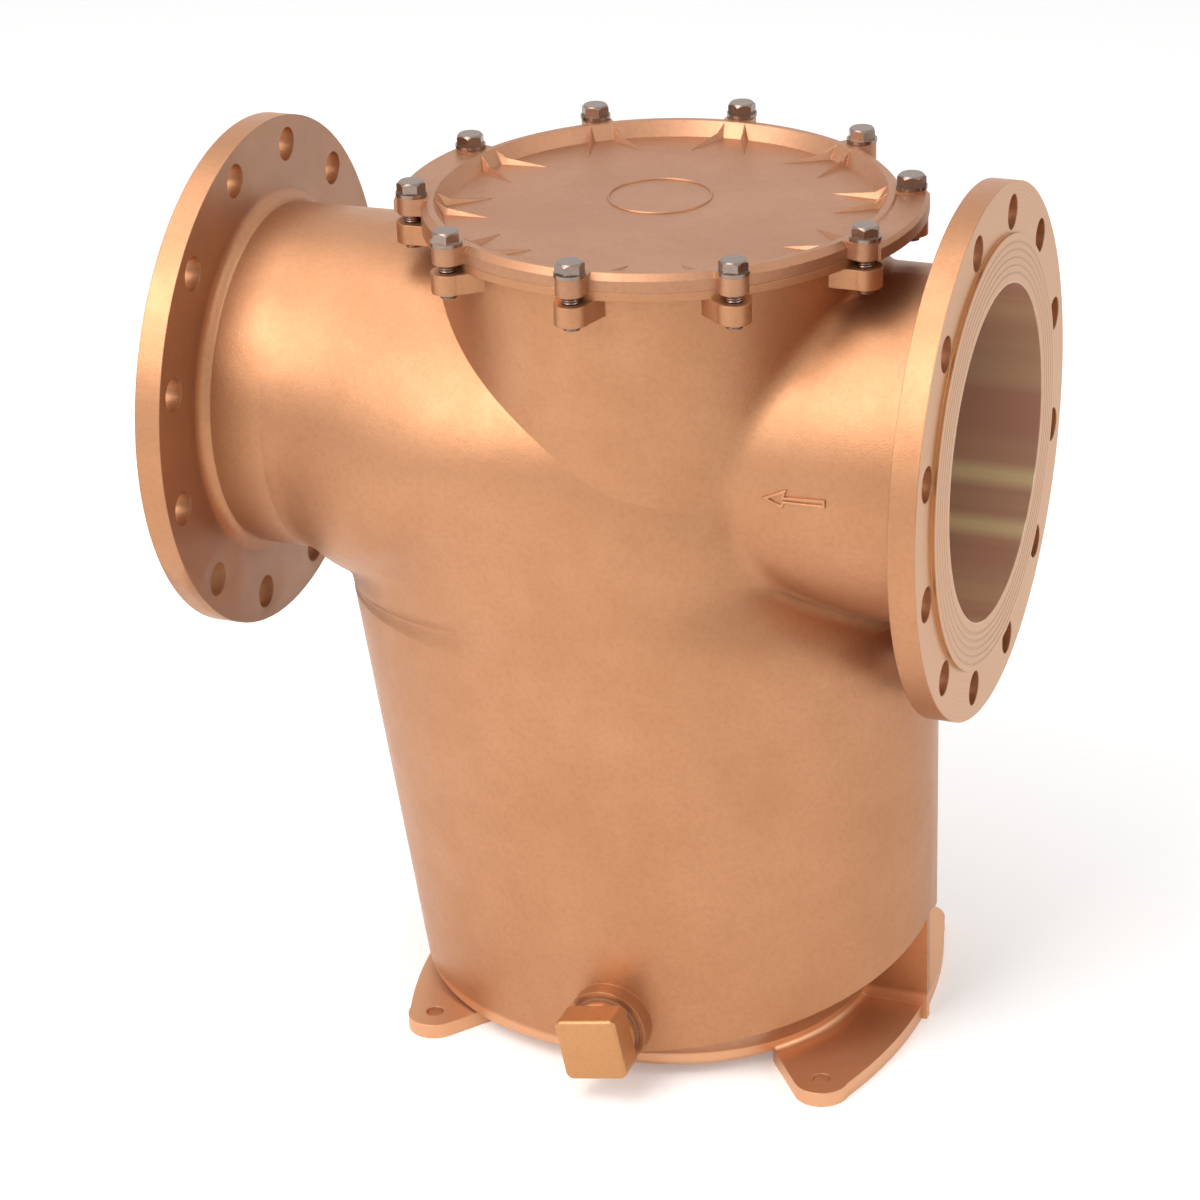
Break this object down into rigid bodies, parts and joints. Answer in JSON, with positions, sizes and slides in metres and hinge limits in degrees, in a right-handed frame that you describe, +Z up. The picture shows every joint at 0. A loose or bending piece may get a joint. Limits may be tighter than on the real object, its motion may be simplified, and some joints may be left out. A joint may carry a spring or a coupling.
{
  "type": "sea water strainer",
  "caption": "Flanged bronze sea water strainer with a bolted lug cover, an oval basket chamber, bolt-down feet and a square-headed drain plug.",
  "frame": {"origin": "centre of the four foot holes on the plane that the feet stand on, under the cover's axis", "axes": "+Z up along the cover's axis, +X towards the inlet flange, -Y towards the drain plug"},
  "size_m": [0.6, 0.3985, 0.683],
  "materials": {
    "cast_bronze": "satin",
    "cover_bronze": "satin",
    "seal_rubber": "matte",
    "seal_fibre": "matte",
    "bolt_steel": "satin",
    "basket_steel": "satin"
  },
  "bodies": {
    "casing": {"body": "cast_bronze", "cover": "cover_bronze", "cover_gasket": "seal_rubber", "cover_bolts": "bolt_steel", "cover_washers": "bolt_steel", "basket_seal": "seal_rubber", "basket_rim": "basket_steel", "basket_shell": "basket_steel", "basket_floor": "basket_steel", "basket_hoop": "basket_steel", "basket_handle": "basket_steel"},
    "drain_screw_travel": {"drain_seal": "seal_fibre"},
    "drain_screw": {"drain_plug": "cast_bronze"}
  },
  "joints": [
    {"name": "drain_plug_travel", "type": "slide", "parent": "casing", "child": "drain_screw_travel", "axis": [0, -1, 0], "range_m": [0, 0.0231]},
    {"name": "drain_plug_turn", "type": "hinge", "parent": "drain_screw_travel", "child": "drain_screw", "pos_m": [0, -0.168, 0.0485], "axis": [0, -1, 0], "range_deg": [0, 3600]}
  ],
  "couplings": [
    {"joint": "drain_plug_travel", "follows": "drain_plug_turn", "m_per_rad": 0.0003675}
  ]
}
